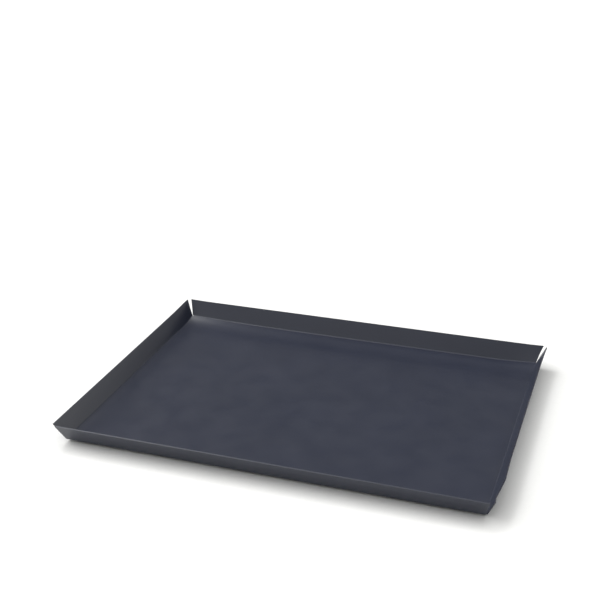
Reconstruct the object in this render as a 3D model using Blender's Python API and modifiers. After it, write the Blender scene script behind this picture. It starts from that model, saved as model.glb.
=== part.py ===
"""Folded sheet-steel tray: a shallow pan bent up from one blank, on four self-adhesive feet.

Run with: blender --background --python part.py
Metres, +Z up. The origin is the middle of the surface that the feet stand on, +X runs along
the tray and -Y is its front. Nothing on the tray moves, so every piece is rigid.
"""

import math
from typing import NamedTuple

import bmesh
import bpy
from mathutils import Vector


class Wall(NamedTuple):
    """How one pair of facing walls is cut and bent."""

    angle: float  # how far up from level the wall is bent
    end_cut: float  # how far each end is cut out of square above the bend, widening the wall


# Driving dimensions.
RIM_LENGTH = 0.400  # along X, over the outer edges of the short walls
RIM_WIDTH = 0.300  # along Y, over the outer edges of the long walls
INNER_DEPTH = 0.0174  # from the floor's upper face to the rim
SHEET = 0.001  # thickness of the coated steel
BEND_RADIUS = 0.0015  # inside radius of the bends
LONG_WALL = Wall(angle=math.radians(61.5), end_cut=math.radians(15))
SHORT_WALL = Wall(angle=math.radians(65), end_cut=math.radians(20))
SLIT_START = 0.0003  # how much of the floor's corners is cut off, where the open slits start
TIP_RADIUS = 0.0006  # the walls' upper corners are dulled to this radius
EDGE_ROUND = 0.00015  # the sheet's cut edges are tumbled and coated, so none is sharp

FOOT_RADIUS = 0.006  # where the foot meets its adhesive
SOLE_RADIUS = 0.0055
FOOT_THICKNESS = 0.0012
SOLE_ROUND = 0.0003
FOOT_INSET = 0.025  # from a bend to the middle of a foot
ADHESIVE_RADIUS = 0.0053
ADHESIVE_THICKNESS = 0.0003
FIT_GAP = 0.0003  # between pieces that are bonded face to face

BEND_STEPS = 6  # flat facets round each bend
TIP_STEPS = 3
EDGE_STEPS = 2
ROUND_SIDES = 48
FOLD_SHADING = math.radians(35)  # a sharper edge than this is drawn as an edge

# Levels above the surface that the tray stands on.
ADHESIVE_BOTTOM = FOOT_THICKNESS + FIT_GAP
FLOOR_BOTTOM = ADHESIVE_BOTTOM + ADHESIVE_THICKNESS + FIT_GAP
FLOOR_TOP = FLOOR_BOTTOM + SHEET

TRAY_COLLECTION = "folded_steel_tray"


def clear_scene():
    for old in list(bpy.data.objects):
        bpy.data.objects.remove(old, do_unlink=True)


def make_material(name, colour, roughness, metallic):
    """A plain Principled finish; colour is linear RGB."""
    material = bpy.data.materials.new(name)
    material.use_nodes = True
    shader = material.node_tree.nodes["Principled BSDF"]
    shader.inputs["Base Color"].default_value = (*colour, 1.0)
    shader.inputs["Roughness"].default_value = roughness
    shader.inputs["Metallic"].default_value = metallic
    return material


def coated_steel():
    """Matt slate-blue powder coat."""
    return make_material("slate_powder_coat", (0.050, 0.056, 0.078), 0.5, 0.0)


def foot_rubber():
    return make_material("black_rubber", (0.018, 0.018, 0.019), 0.75, 0.0)


def adhesive_film():
    return make_material("clear_grey_adhesive", (0.32, 0.31, 0.29), 0.45, 0.0)


def add_piece(name, shape, material, location, base):
    """Turns a bmesh into a named object of the tray, standing at location under its base."""
    mesh = bpy.data.meshes.new(name)
    bmesh.ops.recalc_face_normals(shape, faces=shape.faces)
    shape.to_mesh(mesh)
    shape.free()
    mesh.materials.append(material)
    piece = bpy.data.objects.new(name, mesh)
    piece.location = location
    piece.parent = base
    base.users_collection[0].objects.link(piece)
    return piece


def add_bevel(piece, width, segments, sharper_than):
    bevel = piece.modifiers.new("edge_round", "BEVEL")
    bevel.width = width
    bevel.segments = segments
    bevel.limit_method = "ANGLE"
    bevel.angle_limit = sharper_than


def bend_setback(wall):
    """From the sharp corner that two flat faces would meet at to where the bend starts."""
    return BEND_RADIUS * math.tan(wall.angle / 2)


def flat_floor_half(rim_size, wall):
    """Half the floor's flat size between two facing bends, from the size over their rims."""
    lean = INNER_DEPTH / math.tan(wall.angle) + SHEET * math.sin(wall.angle)
    return rim_size / 2 - lean - bend_setback(wall)


def wall_section(wall):
    """The wall's inner face as (outwards, upwards, how much longer each end is) from its bend.

    Round the bend the ends run out as fast as the wall does, so that they meet the next wall's
    ends and the slits start closed.
    """
    section = []
    for step in range(1, BEND_STEPS + 1):
        turned = wall.angle * step / BEND_STEPS
        outwards = BEND_RADIUS * math.sin(turned)
        upwards = BEND_RADIUS * (1 - math.cos(turned))
        section.append((outwards, upwards, outwards))
    outwards, upwards, longer = section[-1]
    slant = INNER_DEPTH / math.sin(wall.angle) - bend_setback(wall)
    outwards += slant * math.cos(wall.angle)
    upwards += slant * math.sin(wall.angle)
    section.append((outwards, upwards, longer + slant * math.tan(wall.end_cut)))
    return section


def raise_wall(sheet, edge, wall):
    """Carries one edge of the floor round its bend and up to the rim, widening as it goes."""
    middle = (edge.verts[0].co + edge.verts[1].co) / 2
    outward = middle.normalized()
    sideways = outward.cross(Vector((0, 0, 1)))
    half_length = edge.calc_length() / 2
    for outwards, upwards, longer in wall_section(wall):
        made = bmesh.ops.extrude_edge_only(sheet, edges=[edge])["geom"]
        ends = [item for item in made if isinstance(item, bmesh.types.BMVert)]
        centre = middle + outward * outwards + Vector((0, 0, upwards))
        for end in ends:
            end.co = centre + sideways * math.copysign(half_length + longer, end.co.dot(sideways))
        edge = sheet.edges.get(ends)
    bmesh.ops.bevel(
        sheet, geom=ends, offset=TIP_RADIUS, segments=TIP_STEPS, profile=0.5, affect="VERTICES"
    )


def floor_edge(sheet, outward):
    """The floor's edge that lies furthest out along a direction."""
    return max(sheet.edges, key=lambda edge: sum(vert.co.dot(outward) for vert in edge.verts))


def add_pan(base):
    """The floor and its four walls: one sheet, with an open slit at each corner."""
    half_length = flat_floor_half(RIM_LENGTH, SHORT_WALL)
    half_width = flat_floor_half(RIM_WIDTH, LONG_WALL)
    sheet = bmesh.new()
    bmesh.ops.create_grid(sheet, x_segments=1, y_segments=1, size=1)
    bmesh.ops.scale(sheet, vec=(half_length, half_width, 1), verts=sheet.verts)
    bmesh.ops.bevel(
        sheet, geom=sheet.verts[:], offset=SLIT_START, segments=1, profile=0.5, affect="VERTICES"
    )
    pairs = ((Vector((0, 1, 0)), LONG_WALL), (Vector((1, 0, 0)), SHORT_WALL))
    bends = [
        (floor_edge(sheet, way * side), wall) for way, wall in pairs for side in (-1, 1)
    ]
    for edge, wall in bends:
        raise_wall(sheet, edge, wall)
    pan = add_piece("tray_pan", sheet, coated_steel(), (0, 0, FLOOR_TOP), base)
    solidify = pan.modifiers.new("sheet_thickness", "SOLIDIFY")
    solidify.thickness = SHEET
    solidify.offset = 1  # outwards and down, so the inner face keeps its place
    solidify.use_even_offset = True
    add_bevel(pan, EDGE_ROUND, EDGE_STEPS, math.radians(75))
    pan.data.shade_smooth()
    pan.data.set_sharp_from_angle(angle=FOLD_SHADING)


def add_foot(name, place, material, base):
    """A moulded pad, a little narrower at the sole than where it is stuck on."""
    shape = bmesh.new()
    bmesh.ops.create_cone(
        shape,
        cap_ends=True,
        segments=ROUND_SIDES,
        radius1=SOLE_RADIUS,
        radius2=FOOT_RADIUS,
        depth=FOOT_THICKNESS,
    )
    sole_edge = [edge for edge in shape.edges if all(vert.co.z < 0 for vert in edge.verts)]
    bmesh.ops.bevel(
        shape, geom=sole_edge, offset=SOLE_ROUND, segments=EDGE_STEPS, profile=0.5, affect="EDGES"
    )
    location = (*place, FOOT_THICKNESS / 2)
    foot = add_piece("foot_" + name, shape, material, location, base)
    foot.data.shade_smooth()
    foot.data.set_sharp_from_angle(angle=FOLD_SHADING)


def add_adhesive(name, place, material, base):
    """The thin disc that holds a foot to the underside."""
    shape = bmesh.new()
    bmesh.ops.create_cone(
        shape,
        cap_ends=True,
        segments=ROUND_SIDES,
        radius1=ADHESIVE_RADIUS,
        radius2=ADHESIVE_RADIUS,
        depth=ADHESIVE_THICKNESS,
    )
    location = (*place, ADHESIVE_BOTTOM + ADHESIVE_THICKNESS / 2)
    disc = add_piece("adhesive_" + name, shape, material, location, base)
    disc.data.shade_smooth()
    disc.data.set_sharp_from_angle(angle=FOLD_SHADING)


def add_feet(base):
    rubber = foot_rubber()
    film = adhesive_film()
    x = flat_floor_half(RIM_LENGTH, SHORT_WALL) - FOOT_INSET
    y = flat_floor_half(RIM_WIDTH, LONG_WALL) - FOOT_INSET
    for end, side_y in (("front", -y), ("rear", y)):
        for hand, side_x in (("left", -x), ("right", x)):
            name = end + "_" + hand
            add_foot(name, (side_x, side_y), rubber, base)
            add_adhesive(name, (side_x, side_y), film, base)


def build():
    clear_scene()
    collection = bpy.data.collections.new(TRAY_COLLECTION)
    bpy.context.scene.collection.children.link(collection)
    base = bpy.data.objects.new("tray_base", None)
    collection.objects.link(base)
    add_pan(base)
    add_feet(base)


build()
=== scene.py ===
"""Folded steel tray: the looks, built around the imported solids.

Laid out as an add-on and run as a script. Each operator makes one piece, or one group of like
pieces, and the panel in the 3D view's sidebar lists them. Metres, +Z up, and -Y is the front.
"""

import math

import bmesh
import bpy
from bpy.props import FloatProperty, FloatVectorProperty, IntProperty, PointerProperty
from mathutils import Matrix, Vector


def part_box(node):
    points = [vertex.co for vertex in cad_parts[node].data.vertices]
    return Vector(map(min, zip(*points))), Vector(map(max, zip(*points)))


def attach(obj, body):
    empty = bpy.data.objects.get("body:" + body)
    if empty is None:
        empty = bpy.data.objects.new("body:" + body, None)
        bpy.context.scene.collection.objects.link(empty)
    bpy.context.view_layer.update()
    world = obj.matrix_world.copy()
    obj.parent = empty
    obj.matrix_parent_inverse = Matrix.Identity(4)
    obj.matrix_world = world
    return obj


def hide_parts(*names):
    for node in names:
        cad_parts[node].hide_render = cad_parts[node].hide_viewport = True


bl_info = {
    "name": "Folded Steel Tray",
    "version": (1, 0, 0),
    "blender": (4, 5, 0),
    "location": "3D View > Sidebar > Tray",
    "description": "Folds a powder-coated steel tray, sticks on its feet and lights it",
    "category": "Object",
}

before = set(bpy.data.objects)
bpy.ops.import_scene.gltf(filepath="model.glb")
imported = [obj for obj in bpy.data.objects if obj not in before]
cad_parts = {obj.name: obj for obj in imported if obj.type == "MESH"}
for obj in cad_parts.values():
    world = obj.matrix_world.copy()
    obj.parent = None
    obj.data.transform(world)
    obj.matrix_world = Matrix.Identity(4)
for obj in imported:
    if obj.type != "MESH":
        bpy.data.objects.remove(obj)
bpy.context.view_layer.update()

PAN_LOW, PAN_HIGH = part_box("tray_pan")
FOOT_LOW, FOOT_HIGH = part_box("foot_front_left")
DISC_LOW, DISC_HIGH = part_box("adhesive_front_left")
CORNERS = ("front_left", "front_right", "rear_left", "rear_right")
BODY = "root"
UP = Vector((0, 0, 1))
TINY = 1e-6  # nearer than this counts as touching
ROUND_SIDES = 64
EDGE_STEPS = 3  # facets round a dulled edge
SMOOTH_BELOW = math.radians(40)  # a sharper edge than this is drawn as an edge
NOISE_SPREAD = (0.3, 0.7)  # nearly all of a noise's values lie between these


# Small helpers.


def linear(code):
    """A colour given as sRGB hex, such as "#3f434f", as linear RGB."""
    shares = [int(code[i : i + 2], 16) / 255 for i in (1, 3, 5)]
    return tuple(s / 12.92 if s <= 0.04045 else ((s + 0.055) / 1.055) ** 2.4 for s in shares)


def add_node(tree, kind, inputs=None, **settings):
    """Adds a node with its settings. inputs maps a socket to a value, or to a socket to link."""
    node = tree.nodes.new(kind)
    for name, value in settings.items():
        setattr(node, name, value)
    for socket, value in (inputs or {}).items():
        if isinstance(value, bpy.types.NodeSocket):
            tree.links.new(value, node.inputs[socket])
        else:
            node.inputs[socket].default_value = value
    return node


def new_material(name):
    """An empty node material, with its tree and its output node."""
    material = bpy.data.materials.new(name)
    material.use_nodes = True
    tree = material.node_tree
    tree.nodes.clear()
    return material, tree, tree.nodes.new("ShaderNodeOutputMaterial")


def object_place(tree):
    return add_node(tree, "ShaderNodeTexCoord").outputs["Object"]


def blotches(tree, place, size, detail):
    """Soft noise between 0 and 1 whose blotches are about size across, in metres."""
    noise = {"Vector": place, "Scale": 1 / size, "Detail": detail}
    return add_node(tree, "ShaderNodeTexNoise", noise).outputs["Fac"]


def remap(tree, value, before, after):
    """Stretches a value from one range (low, high) to another, and holds it there."""
    ranges = {"From Min": before[0], "From Max": before[1], "To Min": after[0], "To Max": after[1]}
    return add_node(tree, "ShaderNodeMapRange", {"Value": value, **ranges}).outputs["Result"]


def shade(tree, colour, value, saturation=1.0):
    """A colour made brighter or darker by a value."""
    change = {"Color": (*colour, 1.0), "Saturation": saturation, "Value": value}
    return add_node(tree, "ShaderNodeHueSaturation", change).outputs["Color"]


def relief(tree, height, depth, below=None):
    """Bumps of a depth in metres, laid over the relief below if there is one."""
    bumps = {"Height": height, "Strength": 1.0, "Distance": depth}
    if below is not None:
        bumps["Normal"] = below
    return add_node(tree, "ShaderNodeBump", bumps).outputs["Normal"]


def lay_surface(tree, output, colour, roughness, **more):
    """Joins up a surface that isn't bare metal. more gives its IOR and its relief as Normal."""
    inputs = {"Base Color": colour, "Roughness": roughness, "Metallic": 0.0, **more}
    shader = add_node(tree, "ShaderNodeBsdfPrincipled", inputs)
    tree.links.new(shader.outputs["BSDF"], output.inputs["Surface"])


def start_piece(name, add_primitive, **settings):
    """Adds a primitive with nothing else selected, and names it."""
    if bpy.context.mode != "OBJECT":
        bpy.ops.object.mode_set(mode="OBJECT")
    bpy.ops.object.select_all(action="DESELECT")
    add_primitive(**settings)
    piece = bpy.context.active_object
    piece.name = piece.data.name = name
    return piece


def select_verts(piece, wanted):
    """In edit mode, selects only the vertices whose place is wanted, and what joins them."""
    bpy.ops.mesh.select_mode(type="VERT")
    bpy.ops.mesh.select_all(action="DESELECT")
    shape = bmesh.from_edit_mesh(piece.data)
    for vert in shape.verts:
        if wanted(vert.co):
            vert.select_set(True)
    shape.select_flush(True)
    bmesh.update_edit_mesh(piece.data)


def apply_modifier(piece, kind, **settings):
    """Adds a modifier to the active piece and applies it."""
    modifier = piece.modifiers.new(kind.lower(), kind)
    for name, value in settings.items():
        setattr(modifier, name, value)
    bpy.ops.object.modifier_apply(modifier=modifier.name)


def dull_edges(piece, radius, sharper_than):
    """Rounds the active piece's edges that are sharper than an angle."""
    apply_modifier(
        piece, "BEVEL", width=radius, segments=EDGE_STEPS, limit_method="ANGLE",
        angle_limit=sharper_than,
    )


def settle(piece):
    """Puts the object's place into its mesh, so that the object sits at the origin."""
    bpy.ops.object.select_all(action="DESELECT")
    piece.select_set(True)
    bpy.context.view_layer.objects.active = piece
    bpy.ops.object.transform_apply(location=True, rotation=True, scale=True)


# Sizes and colours that a user would change.


class TraySheetSettings(bpy.types.PropertyGroup):
    rim_length: FloatProperty(
        name="Rim Length",
        description="Over the outer edges of the short walls",
        default=0.4,
        unit="LENGTH",
    )
    rim_width: FloatProperty(
        name="Rim Width",
        description="Over the outer edges of the long walls",
        default=0.3,
        unit="LENGTH",
    )
    sheet: FloatProperty(
        name="Sheet",
        description="Thickness of the coated steel",
        default=0.001,
        unit="LENGTH",
    )
    bend_radius: FloatProperty(
        name="Bend Radius",
        description="Inside radius of the bends",
        default=0.0015,
        unit="LENGTH",
    )
    long_angle: FloatProperty(
        name="Long Wall Angle",
        description="How far up from level the long walls are bent",
        default=math.radians(61.5),
        subtype="ANGLE",
    )
    short_angle: FloatProperty(
        name="Short Wall Angle",
        description="How far up from level the short walls are bent",
        default=math.radians(65),
        subtype="ANGLE",
    )
    long_end_cut: FloatProperty(
        name="Long Wall End Cut",
        description="How far the long walls' ends are cut out of square",
        default=math.radians(15),
        subtype="ANGLE",
    )
    short_end_cut: FloatProperty(
        name="Short Wall End Cut",
        description="How far the short walls' ends are cut out of square",
        default=math.radians(20),
        subtype="ANGLE",
    )
    slit_start: FloatProperty(
        name="Slit Start",
        description="How much of the floor's corners is cut off, where the slits start",
        default=0.0003,
        unit="LENGTH",
    )
    tip_radius: FloatProperty(
        name="Tip Radius",
        description="Radius that the walls' upper corners are dulled to",
        default=0.0006,
        unit="LENGTH",
    )
    edge_round: FloatProperty(
        name="Edge Round",
        description="Radius of the coated cut edges",
        default=0.0002,
        unit="LENGTH",
    )
    strip: FloatProperty(
        name="Strip Width",
        description="Spacing of the cuts that let the sheet be dished and curled",
        default=0.005,
        unit="LENGTH",
    )
    bend_steps: IntProperty(
        name="Bend Steps", description="Facets round each bend", default=12, min=2
    )
    colour: FloatVectorProperty(
        name="Coat Colour",
        description="Colour of the powder coat",
        default=linear("#242836"),
        subtype="COLOR",
        size=3,
    )
    roughness: FloatProperty(
        name="Coat Roughness",
        description="How far the coat spreads its highlights",
        default=0.3,
        min=0.05,
        max=0.9,
    )


class TrayFootSettings(bpy.types.PropertyGroup):
    radius: FloatProperty(
        name="Radius",
        description="Radius of a foot where it is stuck on",
        default=0.006,
        unit="LENGTH",
    )
    sole_radius: FloatProperty(
        name="Sole Radius",
        description="Radius of a foot at its sole",
        default=0.0055,
        unit="LENGTH",
    )
    sole_round: FloatProperty(
        name="Sole Round",
        description="Radius of the edge round the sole",
        default=0.0003,
        unit="LENGTH",
    )
    grip_width: FloatProperty(
        name="Grip Width",
        description="Width of the raised ring that grips, round the sole's shallow hollow",
        default=0.0014,
        unit="LENGTH",
    )
    hollow: FloatProperty(
        name="Hollow",
        description="Depth of the hollow in the sole",
        default=0.00025,
        unit="LENGTH",
    )
    hollow_taper: FloatProperty(
        name="Hollow Taper",
        description="Width of the hollow's bottom as a share of its mouth",
        default=0.94,
        min=0.1,
        max=1.0,
    )
    foot_edge: FloatProperty(
        name="Foot Edge",
        description="Radius of the foot's other edges",
        default=0.00008,
        unit="LENGTH",
    )
    disc_radius: FloatProperty(
        name="Disc Radius",
        description="Radius of the adhesive disc",
        default=0.0053,
        unit="LENGTH",
    )
    disc_bulge: FloatProperty(
        name="Disc Bulge",
        description="How far the disc's edge is squeezed out by the foot",
        default=0.0001,
        unit="LENGTH",
    )
    disc_edge: FloatProperty(
        name="Disc Edge",
        description="Radius of the disc's die-cut edges",
        default=0.00006,
        unit="LENGTH",
    )
    seam: FloatProperty(
        name="Seam",
        description="Gap drawn above and below the adhesive disc",
        default=0.00002,
        unit="LENGTH",
    )
    rubber: FloatVectorProperty(
        name="Rubber Colour",
        description="Colour of the feet",
        default=linear("#242425"),
        subtype="COLOR",
        size=3,
    )
    foam: FloatVectorProperty(
        name="Foam Colour",
        description="Colour of the adhesive discs",
        default=linear("#9b9892"),
        subtype="COLOR",
        size=3,
    )


class TrayStageSettings(bpy.types.PropertyGroup):
    paper: FloatVectorProperty(
        name="Paper Colour",
        description="Colour of the paper that the tray stands on",
        default=linear("#e9e9e7"),
        subtype="COLOR",
        size=3,
    )
    level: FloatProperty(
        name="Light Level",
        description="Scales every light and the room together",
        default=1.0,
        min=0.0,
    )


# The pan.


def wall_section(sheet, angle, end_cut, rise):
    """Steps (outwards, upwards, longer) that carry a wall round its bend and up to the rim.

    Round the bend the ends run out as fast as the wall does, so that the slits start closed.
    """
    steps = []
    radius = sheet.bend_radius
    turn = angle / sheet.bend_steps
    for step in range(sheet.bend_steps):
        start, end = turn * step, turn * (step + 1)
        outwards = radius * (math.sin(end) - math.sin(start))
        upwards = radius * (math.cos(start) - math.cos(end))
        steps.append((outwards, upwards, outwards))
    slant = rise / math.sin(angle) - radius * math.tan(angle / 2)
    steps.append((slant * math.cos(angle), slant * math.sin(angle), slant * math.tan(end_cut)))
    return steps


def raise_wall(piece, sheet, outward, half_across, half_along, floor_top, angle, end_cut):
    """Extrudes one edge of the floor into a bend and a wall that widens as it goes up."""
    select_verts(
        piece,
        lambda co: abs(co.z - floor_top) < TINY and abs(co.dot(outward) - half_across) < TINY,
    )
    reach = half_along
    for out, up, longer in wall_section(sheet, angle, end_cut, PAN_HIGH.z - floor_top):
        bpy.ops.mesh.extrude_edges_move(
            TRANSFORM_OT_translate={"value": outward * out + UP * up}
        )
        grow = (reach + longer) / reach
        bpy.ops.transform.resize(
            value=(1, grow, 1) if outward.x else (grow, 1, 1), center_override=(0, 0, 0)
        )
        reach += longer
    bpy.ops.mesh.bevel(
        offset=sheet.tip_radius, segments=4, profile=0.5, affect="VERTICES"
    )


def cut_across(piece, spacing):
    """Cuts the sheet into strips both ways, so that it can be dished and curled."""
    for axis in (Vector((1, 0, 0)), Vector((0, 1, 0))):
        half = max(abs(vert.co.dot(axis)) for vert in bmesh.from_edit_mesh(piece.data).verts)
        cuts = math.floor(half / spacing)
        for step in range(-cuts, cuts + 1):
            bpy.ops.mesh.select_all(action="SELECT")
            bpy.ops.mesh.bisect(plane_co=axis * spacing * step, plane_no=axis)


def spring(piece, where, reach, move):
    """Pushes the sheet at one point, and ever less of it out to a reach along each axis."""
    shape = bmesh.from_edit_mesh(piece.data)
    for vert in shape.verts:
        share = 1.0
        for away, far in zip(vert.co - where, reach):
            share *= max(0.0, 1.0 - abs(away) / far) ** 2
        vert.co += Vector(move) * share
    bmesh.update_edit_mesh(piece.data)


def spring_corners(piece, corner, tip_x, tip_y):
    """The sheet springs a little out of true where the bends run out at the slits.

    corner is the floor's right rear corner, tip_x the rear tip of the right wall and tip_y the
    right tip of the rear wall; the others are mirrored from them. Each curl is given as its
    middle, how far it reaches along X, Y and Z, and how far its middle moves, in metres.
    """
    left, front = Vector((-1, 1, 1)), Vector((1, -1, 1))
    curls = (
        # At the left rear the floor lifts, most of all along the rear bend, with the left wall.
        (corner * left, (0.065, 0.034, 0.03), (0, 0, 0.0009)),
        (corner * left, (0.15, 0.018, 0.02), (0, 0, 0.0019)),
        (tip_x * left, (0.03, 0.05, 0.014), (0, 0, 0.001)),
        # At the right rear the floor and the right wall lift and lean out.
        (corner, (0.05, 0.034, 0.03), (0.0008, 0, 0.0022)),
        (tip_x, (0.02, 0.05, 0.014), (0.0008, 0, 0.001)),
        (tip_y, (0.06, 0.02, 0.012), (0.001, 0, 0)),
        # At the right front the right wall bulges out, and turns in at its tip.
        (tip_x * front + Vector((0, 0.028, 0)), (0.03, 0.045, 0.02), (0.0011, 0, 0)),
        (tip_x * front, (0.03, 0.034, 0.022), (-0.0024, 0, -0.0008)),
    )
    for where, reach, move in curls:
        spring(piece, where, reach, move)


class TRAY_OT_fold_pan(bpy.types.Operator):
    """Fold the pan from one sheet: a floor, four bends and four leaning walls"""

    bl_idname = "tray.fold_pan"
    bl_label = "Fold the Pan"
    bl_options = {"REGISTER", "UNDO"}

    def execute(self, context):
        sheet = context.scene.tray_sheet
        floor_top = PAN_LOW.z + sheet.sheet
        rise = PAN_HIGH.z - floor_top

        def flat_half(rim, angle):
            lean = rise / math.tan(angle) + sheet.sheet * math.sin(angle)
            return rim / 2 - lean - sheet.bend_radius * math.tan(angle / 2)

        half_length = flat_half(sheet.rim_length, sheet.short_angle)
        half_width = flat_half(sheet.rim_width, sheet.long_angle)
        pan = start_piece(
            "folded_pan", bpy.ops.mesh.primitive_plane_add, size=2, location=(0, 0, floor_top)
        )
        settle(pan)
        bpy.ops.object.mode_set(mode="EDIT")
        bpy.ops.mesh.select_all(action="SELECT")
        bpy.ops.transform.resize(value=(half_length, half_width, 1), center_override=(0, 0, 0))
        bpy.ops.mesh.bevel(offset=sheet.slit_start, segments=1, affect="VERTICES")
        long_wall = (half_width, half_length - sheet.slit_start)
        short_wall = (half_length, half_width - sheet.slit_start)
        for side in (-1, 1):
            raise_wall(
                pan, sheet, Vector((0, side, 0)), *long_wall, floor_top,
                sheet.long_angle, sheet.long_end_cut,
            )
            raise_wall(
                pan, sheet, Vector((side, 0, 0)), *short_wall, floor_top,
                sheet.short_angle, sheet.short_end_cut,
            )
        cut_across(pan, sheet.strip)
        spring_corners(
            pan,
            Vector((half_length, half_width, floor_top)),
            Vector((PAN_HIGH.x, half_width, PAN_HIGH.z)),
            Vector((half_length, PAN_HIGH.y, PAN_HIGH.z)),
        )
        bpy.ops.mesh.select_all(action="SELECT")
        bpy.ops.mesh.normals_make_consistent(inside=False)
        bpy.ops.object.mode_set(mode="OBJECT")
        pan.data.materials.append(coated_steel(sheet))
        pan.data.materials.append(thin_edge_coat(sheet))
        apply_modifier(
            pan, "SOLIDIFY", thickness=sheet.sheet, offset=1, use_even_offset=True,
            material_offset_rim=1,
        )
        dull_edges(pan, sheet.edge_round, math.radians(75))
        bpy.ops.object.shade_smooth()
        apply_modifier(pan, "WEIGHTED_NORMAL", keep_sharp=True)
        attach(pan, BODY)
        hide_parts("tray_pan")
        return {"FINISHED"}


def coated_steel(sheet):
    """Powder coat on steel, fused in the oven to a satin skin.

    The colour is even, drifting by a few percent where the spray was thicker. The skin is a
    little glossier where it flowed better, has a soft orange peel 1.4 mm across, and a fine
    grain that keeps highlights from looking wet.
    """
    material, tree, output = new_material("Steel, powder coated and fused to a satin skin")
    place = object_place(tree)
    drift = blotches(tree, place, size=0.06, detail=1.0)
    value = remap(tree, drift, before=NOISE_SPREAD, after=(0.96, 1.04))
    flow = blotches(tree, place, size=0.025, detail=2.0)
    glossiest, dullest = sheet.roughness - 0.02, sheet.roughness + 0.02
    roughness = remap(tree, flow, before=NOISE_SPREAD, after=(glossiest, dullest))
    peel = relief(tree, blotches(tree, place, size=0.0014, detail=1.0), depth=0.000012)
    # The real grain is about 0.05 mm across; it is drawn coarser so that it doesn't shimmer.
    grain = blotches(tree, place, size=0.00035, detail=0.0)
    grain = relief(tree, grain, depth=0.000002, below=peel)
    colour = shade(tree, sheet.colour, value)
    lay_surface(tree, output, colour, roughness, IOR=1.5, Normal=grain)
    return material


def thin_edge_coat(sheet):
    """The same coat where it was drawn thin over the sheared edge of the sheet.

    It is a little paler and duller than on the faces, and mottled every few millimetres by the
    shear marks below it, so the sheet's edge reads as a fine line of its own.
    """
    material, tree, output = new_material("Steel edge, sheared and thinly powder coated")
    marks = blotches(tree, object_place(tree), size=0.003, detail=3.0)
    value = remap(tree, marks, before=NOISE_SPREAD, after=(0.95, 1.1))
    colour = shade(tree, sheet.colour, value, saturation=0.9)
    ridges = relief(tree, marks, depth=0.00001)
    lay_surface(tree, output, colour, sheet.roughness + 0.06, IOR=1.5, Normal=ridges)
    return material


# The feet and what sticks them on.


def copy_to_corners(first, stem):
    """Gives the other three corners a copy of the first corner's piece, each its own mesh."""
    pieces = [first]
    start = middle_of(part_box("foot_" + CORNERS[0]))
    for corner in CORNERS[1:]:
        bpy.ops.object.select_all(action="DESELECT")
        first.select_set(True)
        bpy.context.view_layer.objects.active = first
        bpy.ops.object.duplicate(linked=False)
        piece = bpy.context.active_object
        piece.name = piece.data.name = stem + corner
        bpy.ops.transform.translate(value=middle_of(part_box("foot_" + corner)) - start)
        settle(piece)
        pieces.append(piece)
    return pieces


def middle_of(box):
    low, high = box
    return (low + high) / 2


class TRAY_OT_mould_feet(bpy.types.Operator):
    """Mould the four rubber feet: tapered pads with a shallow hollow in the sole"""

    bl_idname = "tray.mould_feet"
    bl_label = "Mould the Feet"
    bl_options = {"REGISTER", "UNDO"}

    def execute(self, context):
        sizes = context.scene.tray_foot
        middle = middle_of((FOOT_LOW, FOOT_HIGH))
        foot = start_piece(
            "rubber_foot_" + CORNERS[0],
            bpy.ops.mesh.primitive_cylinder_add,
            vertices=ROUND_SIDES,
            radius=sizes.radius,
            depth=FOOT_HIGH.z - FOOT_LOW.z,
            location=middle,
        )
        settle(foot)
        bpy.ops.object.mode_set(mode="EDIT")
        select_verts(foot, lambda co: co.z < FOOT_LOW.z + TINY)
        taper = sizes.sole_radius / sizes.radius
        bpy.ops.transform.resize(value=(taper, taper, 1), center_override=middle)
        bpy.ops.mesh.bevel(offset=sizes.sole_round, segments=5, affect="EDGES")
        select_verts(foot, lambda co: co.z < FOOT_LOW.z + TINY)
        bpy.ops.mesh.select_mode(type="FACE")
        bpy.ops.mesh.inset(thickness=sizes.grip_width)
        bpy.ops.mesh.extrude_region_move(
            TRANSFORM_OT_translate={"value": (0, 0, sizes.hollow)}
        )
        bpy.ops.transform.resize(
            value=(sizes.hollow_taper, sizes.hollow_taper, 1), center_override=middle
        )
        bpy.ops.mesh.select_all(action="SELECT")
        bpy.ops.mesh.normals_make_consistent(inside=False)
        bpy.ops.object.mode_set(mode="OBJECT")
        dull_edges(foot, sizes.foot_edge, math.radians(35))
        bpy.ops.object.shade_smooth_by_angle(angle=SMOOTH_BELOW)
        foot.data.materials.append(moulded_rubber(sizes))
        for piece, corner in zip(copy_to_corners(foot, "rubber_foot_"), CORNERS):
            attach(piece, BODY)
            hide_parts("foot_" + corner)
        return {"FINISHED"}


def moulded_rubber(sizes):
    """Black rubber with the fine spark-eroded grain of its mould.

    The grain makes it fully matt, and a faint grey bloom gathers in patches a few millimetres
    across.
    """
    material, tree, output = new_material("Rubber, moulded with a matt grain")
    place = object_place(tree)
    bloom = blotches(tree, place, size=0.003, detail=3.0)
    colour = shade(tree, sizes.rubber, remap(tree, bloom, before=(0.35, 0.7), after=(0.9, 1.5)))
    grain = relief(tree, blotches(tree, place, size=0.0002, detail=1.0), depth=0.00002)
    lay_surface(tree, output, colour, roughness=0.78, IOR=1.52, Normal=grain)
    return material


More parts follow.
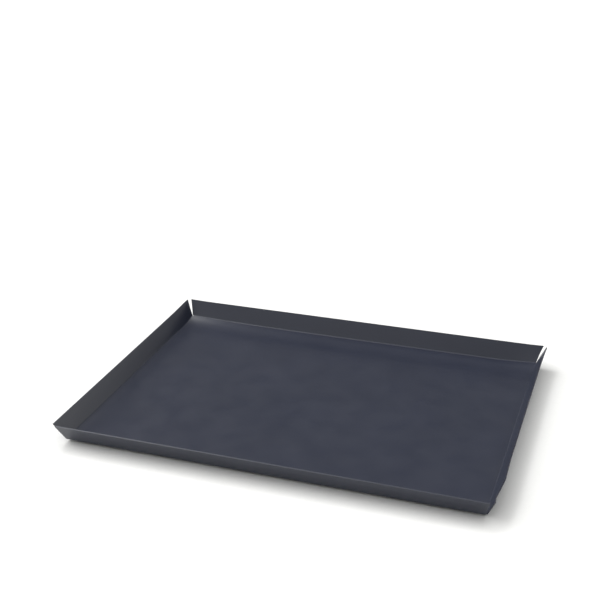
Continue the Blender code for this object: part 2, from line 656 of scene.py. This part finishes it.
class TRAY_OT_cut_discs(bpy.types.Operator):
    """Cut the four adhesive discs that hold the feet, their edges squeezed out a little"""

    bl_idname = "tray.cut_discs"
    bl_label = "Cut the Adhesive Discs"
    bl_options = {"REGISTER", "UNDO"}

    def execute(self, context):
        sizes = context.scene.tray_foot
        bottom, top = FOOT_HIGH.z + sizes.seam, PAN_LOW.z - sizes.seam
        middle = middle_of((DISC_LOW, DISC_HIGH))
        middle.z = (bottom + top) / 2
        disc = start_piece(
            "foam_disc_" + CORNERS[0],
            bpy.ops.mesh.primitive_cylinder_add,
            vertices=ROUND_SIDES,
            radius=sizes.disc_radius,
            depth=top - bottom,
            location=middle,
        )
        settle(disc)
        bpy.ops.object.mode_set(mode="EDIT")
        bpy.ops.mesh.select_all(action="SELECT")
        bpy.ops.mesh.bisect(plane_co=middle, plane_no=UP)
        bulge = 1 + sizes.disc_bulge / sizes.disc_radius
        bpy.ops.transform.resize(value=(bulge, bulge, 1), center_override=middle)
        bpy.ops.mesh.select_all(action="SELECT")
        bpy.ops.mesh.normals_make_consistent(inside=False)
        bpy.ops.object.mode_set(mode="OBJECT")
        dull_edges(disc, sizes.disc_edge, math.radians(60))
        bpy.ops.object.shade_smooth_by_angle(angle=SMOOTH_BELOW)
        disc.data.materials.append(acrylic_foam(sizes))
        for piece, corner in zip(copy_to_corners(disc, "foam_disc_"), CORNERS):
            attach(piece, BODY)
            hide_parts("adhesive_" + corner)
        return {"FINISHED"}


def acrylic_foam(sizes):
    """Grey acrylic foam tape, die cut: its open cells show as fine pits on the cut edge, each
    painted darker towards its middle as shade.
    """
    material, tree, output = new_material("Acrylic foam tape, die cut")
    pit_depth_and_shade = add_node(
        tree,
        "ShaderNodeTexVoronoi",
        {"Vector": object_place(tree), "Scale": 1 / 0.00025},
        feature="F1",
    ).outputs["Distance"]
    # Painted shade: the foam's colour is made darker towards the middle of each pit, where the
    # pits are deepest.
    colour = shade(tree, sizes.foam, remap(tree, pit_depth_and_shade, before=(0.0, 0.8), after=(0.8, 1.1)))
    pits = relief(tree, pit_depth_and_shade, depth=0.00004)
    lay_surface(tree, output, colour, roughness=0.5, IOR=1.47, Normal=pits)
    return material


# The stage.


CAMERA_FOCUS = Vector((-0.0253, 0.03156, 0.09102))
CAMERA_DISTANCE = 1.0644
CAMERA_AZIMUTH = math.radians(19.184)
CAMERA_ELEVATION = math.radians(23.44)
CAMERA_ROLL = math.radians(-0.544)
CAMERA_LENS = 66.18  # millimetres, on a sensor 36 mm wide


def add_camera():
    turn = (
        Matrix.Rotation(CAMERA_AZIMUTH, 4, "Z")
        @ Matrix.Rotation(math.pi / 2 - CAMERA_ELEVATION, 4, "X")
        @ Matrix.Rotation(CAMERA_ROLL, 4, "Z")
    )
    place = CAMERA_FOCUS + turn @ Vector((0, 0, CAMERA_DISTANCE))
    bpy.ops.object.camera_add(location=place, rotation=turn.to_euler())
    camera = bpy.context.active_object
    camera.name = "camera"
    camera.data.sensor_width = 36
    camera.data.lens = CAMERA_LENS
    bpy.context.scene.camera = camera


# The level soft panel overhead: one corner (x, y), the opposite corner, height and brightness.
KEY_PANEL = ((-2.2, -1.5), (-1.5, 2.0), 3.0, 3.9)

# Round soft lamps far away: name, bearing from +Y towards +X, height, how wide each looks from
# the tray, brightness. Angles in degrees.
LAMPS = (
    ("fill_lamp", -155, 30, 40, 0.8),
    ("rear_lamp", 4, 24, 12, 1.2),
    ("rear_right_lamp", 50, 10, 20, 2.35),
    ("rear_left_lamp", -42, 52, 20, 4.5),
    ("high_left_lamp", -62, 50, 24, 1.8),
    ("left_lamp", -85, 30, 40, 3.8),
    ("low_left_lamp", -75, 12, 24, 1.6),
)
LAMP_DISTANCE = 2.0  # where the lamps are drawn; they shine as if from far away
PAPER_SIZE = 60.0  # so wide that its edge is lost on the horizon

# The room as (sine of the height above the horizon, brightness): a white edge where the paper
# ends, a dark gap, a low band of lit wall, a darker band above it and a lit ceiling.
ROOM = (
    (0.0, 1.1), (0.025, 1.1), (0.045, 0.05), (0.09, 0.05), (0.12, 0.55), (0.35, 0.55),
    (0.39, 0.0), (0.62, 0.0), (0.665, 1.35), (0.95, 1.25),
)


def add_panel(name, low, high, height, brightness, level):
    middle = [(a + b) / 2 for a, b in zip(low, high)]
    across, along = [b - a for a, b in zip(low, high)]
    bpy.ops.object.light_add(type="AREA", location=(*middle, height))
    light = bpy.context.active_object
    light.name = light.data.name = name
    light.data.shape = "RECTANGLE"
    light.data.size, light.data.size_y = across, along
    light.data.energy = math.pi * across * along * brightness * level


def add_lamp(name, bearing, height, spread, brightness, level):
    """A round lamp far away; its angles, in degrees, are as they look from the tray."""
    bearing, height, spread = (math.radians(angle) for angle in (bearing, height, spread))
    level_part = math.cos(height)
    towards = Vector(
        (math.sin(bearing) * level_part, math.cos(bearing) * level_part, math.sin(height))
    )
    bpy.ops.object.light_add(type="SUN", location=towards * LAMP_DISTANCE)
    light = bpy.context.active_object
    light.name = light.data.name = name
    light.data.angle = spread
    light.data.energy = math.pi * math.sin(spread / 2) ** 2 * brightness * level
    light.rotation_euler = (-towards).to_track_quat("-Z", "Y").to_euler()


def light_the_room(scene, level):
    """Lights the world in level bands, given by ROOM."""
    world = bpy.data.worlds.new("studio")
    scene.world = world
    world.use_nodes = True
    tree = world.node_tree
    tree.nodes.clear()
    way = add_node(tree, "ShaderNodeTexCoord").outputs["Generated"]
    height = add_node(tree, "ShaderNodeSeparateXYZ", {"Vector": way}).outputs["Z"]
    bands = add_node(tree, "ShaderNodeValToRGB", {"Fac": height})
    stops = bands.color_ramp.elements
    while len(stops) < len(ROOM):
        stops.new(1.0)
    for stop, (place, brightness) in zip(stops, ROOM):
        stop.position = place
        stop.color = (brightness, brightness, brightness, 1.0)
    glow = add_node(
        tree, "ShaderNodeBackground", {"Color": bands.outputs["Color"], "Strength": level}
    )
    output = tree.nodes.new("ShaderNodeOutputWorld")
    tree.links.new(glow.outputs["Background"], output.inputs["Surface"])


def matt_paper(stage):
    """Uncoated white paper: dull, with the faint mottle of its fibres a few millimetres wide."""
    material, tree, output = new_material("White paper, uncoated and matt")
    fibres = blotches(tree, object_place(tree), size=0.004, detail=2.0)
    value = remap(tree, fibres, before=NOISE_SPREAD, after=(0.99, 1.01))
    lay_surface(tree, output, shade(tree, stage.paper, value), roughness=0.9)
    return material


class TRAY_OT_set_stage(bpy.types.Operator):
    """Lay the pale paper, hang the soft lights and set up the camera"""

    bl_idname = "tray.set_stage"
    bl_label = "Set the Stage"
    bl_options = {"REGISTER", "UNDO"}

    def execute(self, context):
        stage = context.scene.tray_stage
        paper = start_piece("paper", bpy.ops.mesh.primitive_plane_add, size=PAPER_SIZE)
        paper.data.materials.append(matt_paper(stage))
        add_panel("key_panel", *KEY_PANEL, stage.level)
        for lamp in LAMPS:
            add_lamp(*lamp, stage.level)
        light_the_room(context.scene, stage.level)
        context.scene.view_settings.view_transform = "Standard"
        add_camera()
        return {"FINISHED"}


class TRAY_PT_sidebar(bpy.types.Panel):
    bl_idname = "TRAY_PT_sidebar"
    bl_label = "Folded Steel Tray"
    bl_space_type = "VIEW_3D"
    bl_region_type = "UI"
    bl_category = "Tray"

    def draw(self, context):
        for operator in OPERATORS:
            self.layout.operator(operator.bl_idname)


OPERATORS = (TRAY_OT_fold_pan, TRAY_OT_mould_feet, TRAY_OT_cut_discs, TRAY_OT_set_stage)
CLASSES = (
    TraySheetSettings, TrayFootSettings, TrayStageSettings, *OPERATORS, TRAY_PT_sidebar
)


def register():
    for made in CLASSES:
        bpy.utils.register_class(made)
    bpy.types.Scene.tray_sheet = PointerProperty(type=TraySheetSettings)
    bpy.types.Scene.tray_foot = PointerProperty(type=TrayFootSettings)
    bpy.types.Scene.tray_stage = PointerProperty(type=TrayStageSettings)


def unregister():
    del bpy.types.Scene.tray_stage
    del bpy.types.Scene.tray_foot
    del bpy.types.Scene.tray_sheet
    for made in reversed(CLASSES):
        bpy.utils.unregister_class(made)


def main():
    register()
    bpy.ops.tray.fold_pan()
    bpy.ops.tray.mould_feet()
    bpy.ops.tray.cut_discs()
    bpy.ops.tray.set_stage()


if __name__ == "__main__":
    main()
